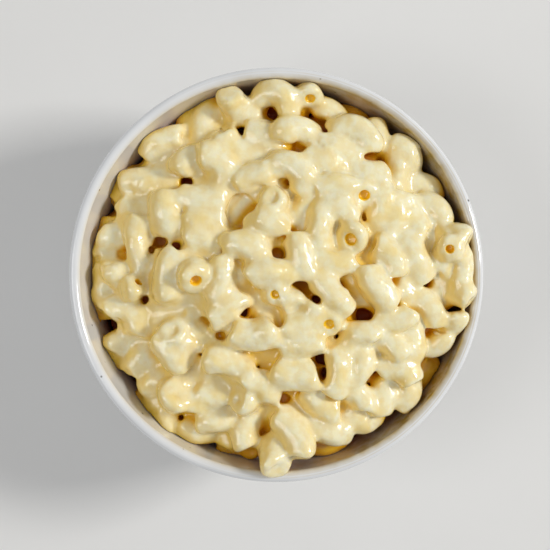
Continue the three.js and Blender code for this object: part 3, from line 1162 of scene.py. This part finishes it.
@dataclass
class Lattice:
    """Evenly spaced sample points over the food, with numbers kept on them."""

    low: Array
    high: Array
    pitch: float

    def __post_init__(self) -> None:
        """Counts the points along each axis."""
        self.shape = tuple(int(n) for n in np.ceil((self.high - self.low) / self.pitch) + 1)

    def axis(self, which: int, span: slice = slice(None)) -> Array:
        """The coordinates of the points along one axis."""
        return (self.low[which] + self.pitch * np.arange(self.shape[which]))[span]

    def near(self, lowest: Array, highest: Array) -> tuple[slice, slice, slice]:
        """Finds the block of points that covers a box.

        Args:
            lowest: The box's low corner in millimetres.
            highest: Its high corner.

        Returns:
            The block, as a slice along each axis.
        """
        first = np.clip(np.floor((lowest - self.low) / self.pitch), 0, None).astype(int)
        last = np.ceil((highest - self.low) / self.pitch).astype(int) + 1
        return tuple(slice(int(a), int(min(b, n))) for a, b, n in zip(first, last, self.shape))

    def points(self, block: tuple[slice, slice, slice]) -> Array:
        """The coordinates of a block's points."""
        grids = np.meshgrid(*(self.axis(which, span) for which, span in enumerate(block)), indexing="ij")
        return np.stack(grids, -1).astype(np.float32)

    def sample(self, values: Array, places: Array) -> Array:
        """The numbers at any places, straight lines between the points.

        Args:
            values: One number for each lattice point.
            places: Where to read them, in millimetres, one row each.

        Returns:
            One number for each place.
        """
        steps = np.clip((places - self.low) / self.pitch, 0, np.array(self.shape) - 1.001)
        base = steps.astype(int)
        share = steps - base
        total = np.zeros(len(places))
        for corner in np.ndindex(2, 2, 2):
            weight = np.prod(np.where(corner, share, 1 - share), axis=1)
            total += weight * values[tuple((base + corner).T)]
        return total

    def blurred(self, values: Array, reach: float, passes: int = 3) -> Array:
        """Softens numbers by repeated averaging over a small cube.

        Args:
            values: One number for each lattice point.
            reach: Half the cube's side in millimetres.
            passes: How many times to average.

        Returns:
            The softened numbers.
        """
        half = max(1, round(reach / self.pitch))
        side = 2 * half + 1
        for axis in (0, 1, 2) * passes:
            padding = [(half + 1, half) if way == axis else (0, 0) for way in range(3)]
            total = np.cumsum(np.pad(values, padding, mode="edge"), axis=axis, dtype=np.float64)
            ahead = tuple(slice(side, None) if way == axis else slice(None) for way in range(3))
            behind = tuple(slice(0, -side) if way == axis else slice(None) for way in range(3))
            values = ((total[ahead] - total[behind]) / side).astype(np.float32)
        return values

    def daylight(self, solid: Array, tilts: tuple[float, ...] = (0, 20, 40, 58),
                 bearings: int = 10) -> Array:
        """How much of the sky each point sees past what is solid.

        Args:
            solid: Whether each lattice point is inside something.
            tilts: How far the lines of sight lean from upright, in degrees.
            bearings: How many ways round the leaning ones point.

        Returns:
            A share from 0 to 1 for each lattice point.
        """
        total = np.zeros(self.shape, np.float32)
        weights = 0.0
        for tilt in tilts:
            ways = 1 if tilt == 0 else bearings
            for way in range(ways):
                bearing = 2 * math.pi * (way + tilt / 90) / ways
                run = math.tan(math.radians(tilt)) * np.array([math.cos(bearing), math.sin(bearing)])
                weight = math.cos(math.radians(tilt))
                total += weight * self.seen_along(solid, run)
                weights += weight
        return total / weights

    @staticmethod
    def seen_along(solid: Array, run: Array) -> Array:
        """Whether each point sees the sky along one line of sight.

        Args:
            solid: Whether each lattice point is inside something.
            run: How many points the line moves east and north for each one it drops.

        Returns:
            True for each lattice point that does.
        """
        seen = np.ones(solid.shape, bool)
        levels = solid.shape[2]
        clear = ~solid[:, :, -1]
        moved = np.zeros(2, int)
        for fall in range(1, levels):
            step = np.round(run * fall).astype(int) - moved
            moved += step
            clear = np.roll(clear, tuple(step), (0, 1))
            here = levels - 1 - fall
            clear = clear & ~solid[:, :, here]
            seen[:, :, here] = clear
        return seen


class Swell(NamedTuple):
    """Smooth unevenness: how long its waves are and how high they stand, in millimetres, and which."""

    length: float
    height: float
    seed: int

    def over(self, points: Array, count: int = 9) -> Array:
        """Works out the unevenness from crossed sine waves.

        Args:
            points: Places in millimetres.
            count: How many waves are crossed.

        Returns:
            A number for each place, mostly between the height and the same below nought.
        """
        chance = np.random.default_rng(self.seed)
        total = np.zeros(points.shape[:-1], np.float32)
        for _ in range(count):
            way = chance.normal(size=3)
            way *= 2 * math.pi / (self.length * chance.uniform(0.7, 1.5) * np.linalg.norm(way))
            total += np.sin(points @ way.astype(np.float32) + chance.uniform(0, 2 * math.pi))
        return self.height * (total * math.sqrt(2 / count))


@dataclass
class Sauce:
    """The cheese sauce: a coat over the elbows that runs together between them.

    Softness is how round the sauce's inner corners are between elbows, and meniscus how round they
    are where an elbow stands in a pool. A mouth freer than open_from is a bore, and any other is
    only dimpled. A hole's edge has waves of these parts of its radius, in length and height. Glow is
    how far the share of daylight is spread into the nooks before it is painted as shade. Lee is the
    side turned to the west, away from the window lamp, where shade is painted.
    """

    packing: Packing
    elbows: Elbows
    pitch: float = 0.65
    lowest: float = 34.0
    highest: float = 81.0
    far: float = 9.0
    field_margin: float = 4.5
    softness: float = 0.6
    meniscus: float = 1.45
    coat: float = 0.42
    least_coat: float = 0.12
    coat_swells: tuple[Swell, ...] = (Swell(16.0, 0.3, 5), Swell(7.0, 0.2, 6), Swell(3.6, 0.09, 8))
    west_coat: float = 0.35
    west_coat_start: float = 18.0
    west_coat_span: float = 40.0
    west_coat_radius: float = 60.0
    end_rounding: float = 1.5
    open_from: float = 0.36
    bore_depth: float = 1.7
    bore_film: float = 0.1
    mouth_reach: float = 1.5
    dimple_depth: float = 4.4
    dimple_lip: float = 0.7
    hole_edge: float = 0.4
    hole_film: float = 0.2
    hole_margin: float = 2.0
    hole_waves: tuple[float, float] = (1.9, 0.26)
    pool_depth: float = 3.0
    pool_radius: float = 58.0
    pool_swell: Swell = Swell(18.0, 1.1, 9)
    west_rise: float = 1.6
    west_spread: float = 0.1
    west_sharpness: float = 1.6
    east_fall: float = 7.0
    edge_width: float = 8.0
    rim_margin: float = 1.2
    wall_gap: float = 0.15
    underside: float = 1.5
    glow: float = 1.9
    least_air: float = 0.02
    unseen: float = 0.02
    # Weight of the painted shade on the sides turned west, away from the window lamp.
    lee_bare: float = 0.9
    adaptivity: float = 0.012

    def __post_init__(self) -> None:
        """Works out the fields that the sauce and the pasta share."""
        reach = self.packing.bowl.rim_radius - 1.0
        self.lattice = Lattice(np.array([-reach, -reach, self.lowest]),
                               np.array([reach, reach, self.highest]), self.pitch)
        self.crowd = np.zeros(self.lattice.shape, np.float32)
        self.nearest = np.full(self.lattice.shape, self.far, np.float32)
        self.mouths = np.full(self.lattice.shape, self.far, np.float32)
        for number in range(self.elbows.count):
            self.add_elbow(number)
        self.pour()

    def around(self, number: int, points: Array) -> tuple[Array, Array, Array]:
        """Measures where points are from an elbow's centre line.

        Args:
            number: Which elbow.
            points: Places in millimetres.

        Returns:
            How far each point is from the centre line or its straight run-out, how far it is past the
            nearer mouth, and how free of sauce that mouth is.
        """
        elbows = self.elbows
        bend, half = float(elbows.bend[number]), float(elbows.half_turn[number])
        own = (points - elbows.place[number].astype(np.float32)) @ elbows.axes[number].astype(np.float32)
        along, out, side = own[..., 0], own[..., 1] + bend, own[..., 2]
        turn = np.abs(np.arctan2(along, out))
        past = turn > half
        beyond = np.abs(along) * math.cos(half) - out * math.sin(half)
        outwards = np.abs(along) * math.sin(half) + out * math.cos(half) - bend
        across = np.where(past, np.hypot(outwards, side), np.hypot(np.hypot(along, out) - bend, side))
        run = np.where(past, np.maximum(beyond, 0), (turn - half) * bend)
        return across, run, np.where(along < 0, *elbows.mouths[number])

    def add_elbow(self, number: int) -> None:
        """Adds one elbow to how near and how crowded everything is, and its open mouths.

        Args:
            number: Which elbow.
        """
        radius, bore = float(self.elbows.radius[number]), float(self.elbows.bore[number])
        line = self.elbows.centre_line(np.linspace(-1, 1, 9))[number]
        margin = radius + self.field_margin
        block = self.lattice.near(line.min(0) - margin, line.max(0) + margin)
        across, run, free = self.around(number, self.lattice.points(block))
        corner = self.end_rounding
        rounded = np.hypot(np.maximum(across - radius + corner, 0), run + corner) - corner
        distance = np.where(run > -corner, rounded, across - radius)
        closed = free < self.open_from
        dimple = np.minimum(bore + self.dimple_lip - across, run + self.dimple_depth * free)
        distance = np.where(closed, np.maximum(distance, dimple), distance)
        opening = np.maximum.reduce([across - bore + self.bore_film, run - self.mouth_reach,
                                     -self.bore_depth * free - run])
        self.crowd[block] += np.exp(-np.clip(distance, -4, 8) / self.softness)
        self.nearest[block] = np.minimum(self.nearest[block], distance)
        self.mouths[block] = np.minimum(self.mouths[block], np.where(closed, self.far, opening))

    def pour(self) -> None:
        """Works out the sauce's surface, which is where skin is nought, and the light that reaches it."""
        everywhere = self.lattice.points((slice(None),) * 3)
        east, north, up = everywhere[..., 0], everywhere[..., 1], everywhere[..., 2]
        radius = np.hypot(east, north)
        bed = self.packing.bed(east, north)
        elbows = -self.softness * np.log(np.maximum(self.crowd, 1e-6))
        pool = up - np.maximum(bed, self.level(east[..., :1], north[..., :1]))
        melted = sum(np.exp(-np.clip(part, -6, 12) / self.meniscus) for part in (elbows, pool))
        smooth = self.lattice.blurred(-self.meniscus * np.log(melted), self.pitch, 1)
        coat = self.coat
        for swell in self.coat_swells:
            coat = coat + swell.over(everywhere)
        west = np.clip((self.west_coat_start - east) / self.west_coat_span, -1, 1)
        coat += self.west_coat * west * (radius < self.west_coat_radius)
        skin = np.maximum(smooth - np.maximum(coat, self.least_coat), self.holes(everywhere))
        skin = self.lattice.blurred(skin, self.pitch, 1)
        bowl = self.packing.bowl
        mouth = np.where(up > bowl.height - self.rim_margin, bowl.rim_radius - self.rim_margin,
                         bowl.wall_radius(up))
        wall = mouth - self.wall_gap - radius
        floor = bed - self.underside - up
        self.skin = np.maximum.reduce([skin, -self.mouths, -wall, floor]).astype(np.float32)
        solid = (self.skin < 0) | ((wall < 0) & (up < bowl.height))
        daylight = self.lattice.daylight(solid)
        self.reached = self.lattice.blurred(daylight, self.pitch, 1)
        air = self.lattice.blurred(1.0 - solid, self.glow, 2)
        self.daylight = self.lattice.blurred(daylight, self.glow, 2) / np.maximum(air, self.least_air)

    def holes(self, everywhere: Array) -> Array:
        """Hollows out the holes and the gaps by the wall, down to a film on the elbows.

        Args:
            everywhere: The lattice points.

        Returns:
            How far each lattice point is inside a hole, and less than nought outside.
        """
        inside = np.full(self.lattice.shape, -self.far, np.float32)
        by_the_wall = tuple((*gap, self.packing.bed_depth) for gap in WALL_GAPS)
        for east, north, radius, depth in HOLES + by_the_wall:
            floor = float(self.packing.dome(east, north)) - depth
            stretch = 1 - (floor + depth - self.packing.bowl.height) / self.packing.eye_height
            middle = np.array([east * stretch, north * stretch])
            reach = radius + self.hole_margin
            block = self.lattice.near(np.array([*middle - reach, floor]),
                                      np.array([*middle + reach, self.highest]))
            points = everywhere[block]
            length, height = (part * radius for part in self.hole_waves)
            swell = Swell(length, height, round(10 * (radius + abs(east))))
            away = np.hypot(points[..., 0] - middle[0], points[..., 1] - middle[1]) + swell.over(points)
            hole = np.minimum.reduce([radius + self.hole_edge - away, points[..., 2] - floor,
                                      self.nearest[block] - self.hole_film])
            inside[block] = np.maximum(inside[block], hole)
        return inside

    def level(self, east: Array, north: Array) -> Array:
        """How high the sauce stands between the elbows.

        It laps up the west of the wall a little, and falls away towards the rest of it.

        Args:
            east: Millimetres east of the bowl's axis.
            north: Millimetres north of it.

        Returns:
            The height over each place.
        """
        radius = np.hypot(east, north)
        flat = np.stack([east, north, np.zeros_like(east)], -1)
        level = self.packing.dome(east, north) - self.pool_depth + self.pool_swell.over(flat)
        west = np.clip(self.west_spread - self.west_sharpness * east / np.maximum(radius, 1), 0, 1)
        edge = np.clip((radius - self.pool_radius) / self.edge_width, 0, 1) ** 2
        level += (self.west_rise * west - self.east_fall * (1 - west)) * edge
        for pool_east, pool_north, size, rise in POOLS:
            away = np.hypot(east - pool_east, north - pool_north) / size
            level += rise * np.exp(-(away**4) / 2)
        return level

    def mark_places(self, piece: Object, places: Array) -> None:
        """Keeps how deep in the heap, how free of sauce and how far from daylight each vertex is.

        Sauce runs off steep sides. The extra weight on the sides turned west, away from the window lamp,
        is painted shade, and the materials paint shade from the depth and the daylight too.

        Args:
            piece: The object whose mesh takes the numbers.
            places: Its vertices in millimetres.
        """
        normals = np.zeros(places.size, np.float32)
        piece.data.vertex_normals.foreach_get("vector", normals)
        normals = normals.reshape(-1, 3)
        mark(piece, Mark.DEPTH, self.packing.dome(places[:, 0], places[:, 1]) - places[:, 2])
        # Thin sauce on steep sides, plus painted shade on the sides turned west, away from the lamp.
        mark(piece, Mark.BARE, (1 - normals[:, 2]) / 2 + self.lee_bare * np.clip(-normals[:, 0], 0, 1))
        mark(piece, Mark.SHADE, 1 - self.lattice.sample(self.daylight, places + self.pitch * normals))

    def seen(self, places: Array, faces: list[Array]) -> tuple[Array, list[Array]]:
        """Leaves out the skin that no daylight reaches.

        Args:
            places: The skin's vertices in millimetres.
            faces: Its faces.

        Returns:
            The vertices and the faces that are left.
        """
        hidden = self.lattice.sample(self.reached, places) < self.unseen
        faces = [face[~hidden[face].all(1)] for face in faces]
        used = np.unique(np.concatenate([face.ravel() for face in faces]))
        renumbered = np.zeros(len(places), np.int64)
        renumbered[used] = np.arange(len(used))
        return places[used], [renumbered[face] for face in faces]

    def build(self) -> Object:
        """Builds the sauce's skin, with bigger faces where it is nearly flat.

        Returns:
            The piece.
        """
        grid = openvdb.FloatGrid(background=3.0)
        grid.copyFromArray(np.clip(self.skin, -3, 3))
        points, *faces = grid.convertToPolygons(0.0, self.adaptivity)
        places = points.astype(np.float64) * self.pitch + self.lattice.low
        places, faces = self.seen(places, faces)
        piece = make_piece("cheese_sauce", places, faces)
        mark(piece, Mark.FILM, self.lattice.sample(self.nearest, places))
        mark(piece, Mark.BORE, 1 - self.lattice.sample(self.mouths, places) / 0.8)
        self.mark_places(piece, places)
        piece.data.materials.append(CheeseSauce().build())
        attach(piece, BODY)
        return piece


# ---- The pasta and what it lies on ----


@dataclass
class Macaroni:
    """The elbows themselves: open tubes with round lips at their mouths.

    Each is a closed sleeve of rings: along the outside, over a mouth's lip, back along the bore and
    over the other lip.
    """

    elbows: Elbows
    sauce: Sauce
    around: int = 16
    outer_steps: int = 16
    inner_steps: int = 7
    lip: float = 0.55
    inset: float = 0.6
    crease: float = 0.28
    lump: float = 0.12
    flattening: float = 0.05
    slant: float = 0.22
    lip_pallor: float = 0.8
    seed: int = 23

    def places(self, share: Array, proud: Array, bored: Array, at_lip: Array) -> Array:
        """Works out every vertex of every elbow.

        Args:
            share: How far along the centre line each ring is, from -1 to 1.
            proud: How far it stands out past that, in millimetres.
            bored: Nought for a ring on the outside and one for a ring in the bore.
            at_lip: Whether it is on a lip.

        Returns:
            The vertices in millimetres, by elbow, ring, step round it and coordinate.
        """
        chance = np.random.default_rng(self.seed)
        elbows = self.elbows
        one_each = (elbows.count, 1, 1)
        phi = 2 * np.pi * np.arange(self.around) / self.around
        bend, bore = elbows.bend[:, None, None], elbows.bore[:, None, None]
        thick = elbows.radius[:, None, None] - self.inset
        turn = (elbows.half_turn[:, None, None] - (self.lip + self.inset) / bend) * share
        creased = np.clip(-np.cos(phi), 0, 1) ** 2 * np.cos(3 * np.pi * share) * (1 - np.abs(share) ** 3)
        flattened = chance.uniform(0, self.flattening, one_each)
        flattened = flattened * np.cos(2 * (phi - chance.uniform(0, 3, one_each)))
        lumps = self.lump * np.sin(3 * phi + 5 * share + chance.uniform(0, 6, one_each))
        outside = thick * (1 + flattened) + self.crease * creased + lumps
        radius = np.where(bored > 0.5, bore + self.lip * at_lip, outside - self.lip * at_lip)
        slant = chance.uniform(0, self.slant, one_each) * np.cos(phi - chance.uniform(0, 6, one_each))
        along = proud + slant * radius * share**5
        reach = bend + radius * np.cos(phi)
        own = np.stack([reach * np.sin(turn) + along * np.cos(turn),
                        reach * np.cos(turn) - bend - along * np.sin(turn),
                        np.broadcast_to(radius * np.sin(phi), reach.shape)], -1)
        return np.einsum("eij,erpj->erpi", elbows.axes, own) + elbows.place[:, None, None]

    def build(self) -> Object:
        """Builds every elbow as one piece.

        Returns:
            The piece.
        """
        outer = np.linspace(-1, 1, self.outer_steps + 1)
        inner = np.linspace(1, -1, self.inner_steps + 1)
        share = np.concatenate([outer, [1, 1], inner, [-1, -1]])[:, None]
        proud = np.concatenate([outer * 0, [self.lip] * 2, inner * 0, [-self.lip] * 2])[:, None]
        bored = np.concatenate([outer * 0, [0, 1], inner * 0 + 1, [1, 0]])[:, None]
        at_lip = proud != 0
        points = self.places(share, proud, bored, at_lip)
        rings, around = len(share), self.around
        ring, step = np.meshgrid(np.arange(rings), np.arange(around), indexing="ij")
        onwards, beside = (ring + 1) % rings, (step + 1) % around
        quads = np.stack([ring * around + step, ring * around + beside,
                          onwards * around + beside, onwards * around + step], -1).reshape(-1, 4)
        faces = (quads[None] + (np.arange(self.elbows.count) * rings * around)[:, None, None]).reshape(-1, 4)
        places = points.reshape(-1, 3)
        piece = make_piece("elbow_macaroni", places, [faces])
        self.sauce.mark_places(piece, places)
        mark(piece, Mark.BORE, np.broadcast_to(bored - at_lip * self.lip_pallor, points.shape[:3]).ravel())
        piece.data.materials.append(CookedPasta().build())
        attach(piece, BODY)
        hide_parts("macaroni_heap")
        return piece


@dataclass
class Core:
    """The hidden bulk of the food, from the bowl's floor up to the lowest elbows in sight."""

    packing: Packing
    gap: float = 0.6
    rings: int = 14
    sectors: int = 96
    wall_drop: float = 4.0

    def build(self) -> Object:
        """Builds the core as one closed solid.

        Returns:
            The piece.
        """
        bowl = self.packing.bowl
        wall = bowl.inner_wall(12)[::-1]
        top = float(self.packing.bed(np.array(0.0), np.array(0.0)))
        edge = wall[wall[:, 1] < self.packing.shoulder - self.packing.bed_depth - self.wall_drop]
        under = edge + np.array([-self.gap, self.gap])
        radius = np.linspace(under[-1, 0], 0, self.rings)
        cover = np.stack([radius, self.packing.bed(radius, radius * 0)], -1)
        profile = np.vstack([(0, bowl.floor_height + self.gap), under, cover[1:-1], (0, top)])
        points, faces = lathe(profile, self.sectors)
        piece = make_piece("macaroni_core", points, faces)
        # The hidden core is marked deep and unseen by the sky, so it is painted in full shade.
        marks = {Mark.FILM: 1.5, Mark.DEPTH: self.packing.bed_depth, Mark.BARE: 0.0, Mark.SHADE: 1.0}
        for kind, value in marks.items():
            mark(piece, kind, np.full(len(points), value))
        piece.data.materials.append(bpy.data.materials["cheese_sauce"])
        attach(piece, BODY)
        return piece


# ---- The studio ----


@dataclass
class Studio:
    """The floor, the lights and the camera straight above the bowl.

    The view's width and aim are millimetres at the height of the rim.
    """

    bowl: Bowl
    floor_width: float = 3000.0
    air_tint: str = "#fafafa"
    air_strength: float = 0.38
    lens: float = 85.0
    sensor: float = 36.0
    view_width: float = 198.3
    aim: tuple[float, float] = (-0.43, -0.1)

    def lamp(self, name: str, size: tuple[float, float], place: Place, power: float, tint: str) -> None:
        """Hangs a soft rectangular lamp aimed at the food.

        Args:
            name: The lamp's name.
            size: Its width and height in metres.
            place: Where it hangs, in metres.
            power: Its power in watts.
            tint: Its colour.
        """
        light = bpy.data.lights.new(name, "AREA")
        light.shape = "RECTANGLE"
        light.size, light.size_y = size
        light.energy = power
        light.color = linear(tint)[:3]
        lamp = bpy.data.objects.new(name, light)
        lamp.location = place
        target = Vector((0, 0, self.bowl.height * MM))
        lamp.rotation_euler = (target - Vector(place)).to_track_quat("-Z", "Y").to_euler()
        bpy.context.collection.objects.link(lamp)

    def build(self) -> None:
        """Lays the floor, hangs the lamps and sets the camera."""
        half = self.floor_width / 2
        corners = np.array([(-half, -half, 0), (half, -half, 0), (half, half, 0), (-half, half, 0)])
        floor = make_piece("studio_floor", corners, [np.array([[0, 1, 2, 3]])])
        floor.data.materials.append(StudioPaper().build())
        self.lamp("window", (0.45, 0.4), (1.7, 0.35, 1.25), 27.0, "#fffdf9")
        self.lamp("west_fill", (0.8, 0.8), (-1.1, -0.2, 1.3), 6.0, "#ffffff")
        world = bpy.data.worlds.new("studio_air")
        world.use_nodes = True
        air = world.node_tree.nodes["Background"]
        air.inputs["Color"].default_value = linear(self.air_tint)
        air.inputs["Strength"].default_value = self.air_strength
        scene = bpy.context.scene
        scene.world = world
        scene.view_settings.view_transform = "Standard"
        camera = bpy.data.cameras.new("camera")
        camera.lens, camera.sensor_width = self.lens, self.sensor
        camera.clip_start, camera.clip_end = 0.01, 20
        holder = bpy.data.objects.new("camera", camera)
        distance = self.view_width * self.lens / self.sensor
        holder.location = (self.aim[0] * MM, self.aim[1] * MM, (self.bowl.height + distance) * MM)
        bpy.context.collection.objects.link(holder)
        scene.camera = holder


def main() -> None:
    """Builds the bowl, the food and the studio in turn, and reports each piece."""
    logging.basicConfig(level=logging.INFO, format="%(message)s")
    bowl = Bowl()
    packing = Packing(bowl)
    elbows = packing.settled()
    LOG.info("settled %d elbows", elbows.count)
    sauce = Sauce(packing, elbows)
    pieces = [bowl.build(), sauce.build(), Macaroni(elbows, sauce).build(), Core(packing).build()]
    for piece in pieces:
        LOG.info("%s: %d faces", piece.name, len(piece.data.polygons))
    Studio(bowl).build()


if __name__ == "__main__":
    main()
